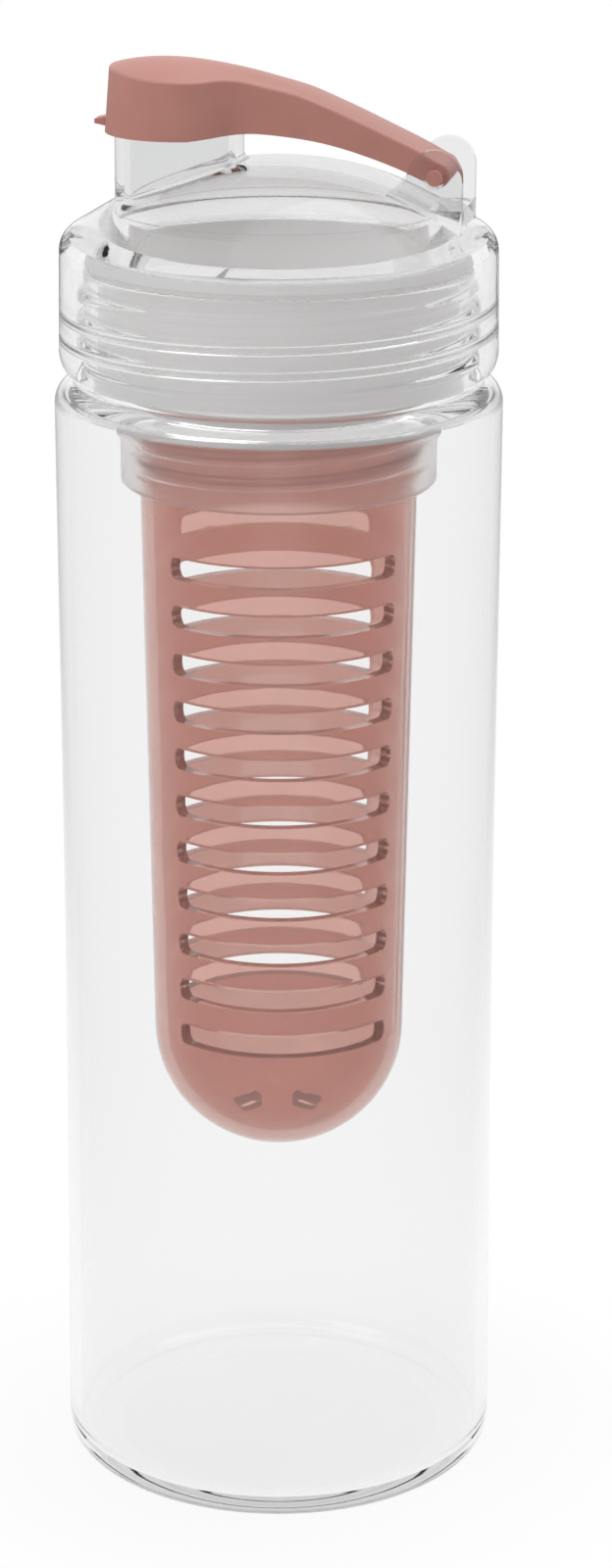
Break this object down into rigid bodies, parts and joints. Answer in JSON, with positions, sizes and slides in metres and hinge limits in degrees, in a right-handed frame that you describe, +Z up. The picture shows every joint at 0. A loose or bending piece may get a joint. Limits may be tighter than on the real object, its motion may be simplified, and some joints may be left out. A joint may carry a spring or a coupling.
{
  "type": "fruit infuser water bottle",
  "caption": "Clear cylindrical water bottle with a screw lid, a flip cap over its drinking spout and a slotted infuser basket that hangs inside from a frosted collar.",
  "frame": {"origin": "centre of the base, on the surface it stands on", "axes": "+Z up along the bottle's axis; the drinking spout is on the -X side and the cap's hinge on the +X side, with the hinge axis along Y"},
  "size_m": [0.0726, 0.0726, 0.2367],
  "materials": {
    "clear_bottle": "polished clear",
    "clear_lid": "polished clear",
    "coral_cap": "satin moulded",
    "silicone": "soft matt",
    "frosted_collar": "frosted translucent",
    "coral_basket": "faintly translucent"
  },
  "bodies": {
    "bottle": {"bottle_body": "clear_bottle"},
    "rim_seal": {"rim_gasket": "silicone"},
    "lid_seal": {"collar_gasket": "silicone"},
    "lid": {"lid_shell": "clear_lid", "infuser_collar": "frosted_collar"},
    "cap": {"flip_cap": "coral_cap", "spout_seal": "silicone"},
    "basket_seal": {"basket_gasket": "silicone"},
    "basket": {"infuser_basket": "coral_basket"}
  },
  "joints": [
    {"name": "lid_lift", "type": "slide", "parent": "bottle", "child": "rim_seal", "axis": [0, 0, 1], "range_m": [0, 0.2]},
    {"name": "lid_rise", "type": "slide", "parent": "rim_seal", "child": "lid_seal", "axis": [0, 0, 1], "range_m": [0, 0.008]},
    {"name": "lid_turn", "type": "hinge", "parent": "lid_seal", "child": "lid", "pos_m": [0, 0, 0.19], "axis": [0, 0, 1], "range_deg": [0, 720]},
    {"name": "cap_flip", "type": "hinge", "parent": "lid", "child": "cap", "pos_m": [0.026, 0, 0.2202], "axis": [0, 1, 0], "range_deg": [0, 180]},
    {"name": "basket_drop", "type": "slide", "parent": "lid", "child": "basket_seal", "axis": [0, 0, -1], "range_m": [0, 0.012]},
    {"name": "basket_turn", "type": "hinge", "parent": "basket_seal", "child": "basket", "pos_m": [0, 0, 0.175], "axis": [0, 0, -1], "range_deg": [0, 1080]}
  ],
  "couplings": [
    {"joint": "lid_rise", "follows": "lid_turn", "m_per_rad": 0.00063662},
    {"joint": "basket_drop", "follows": "basket_turn", "m_per_rad": 0.00063662}
  ]
}
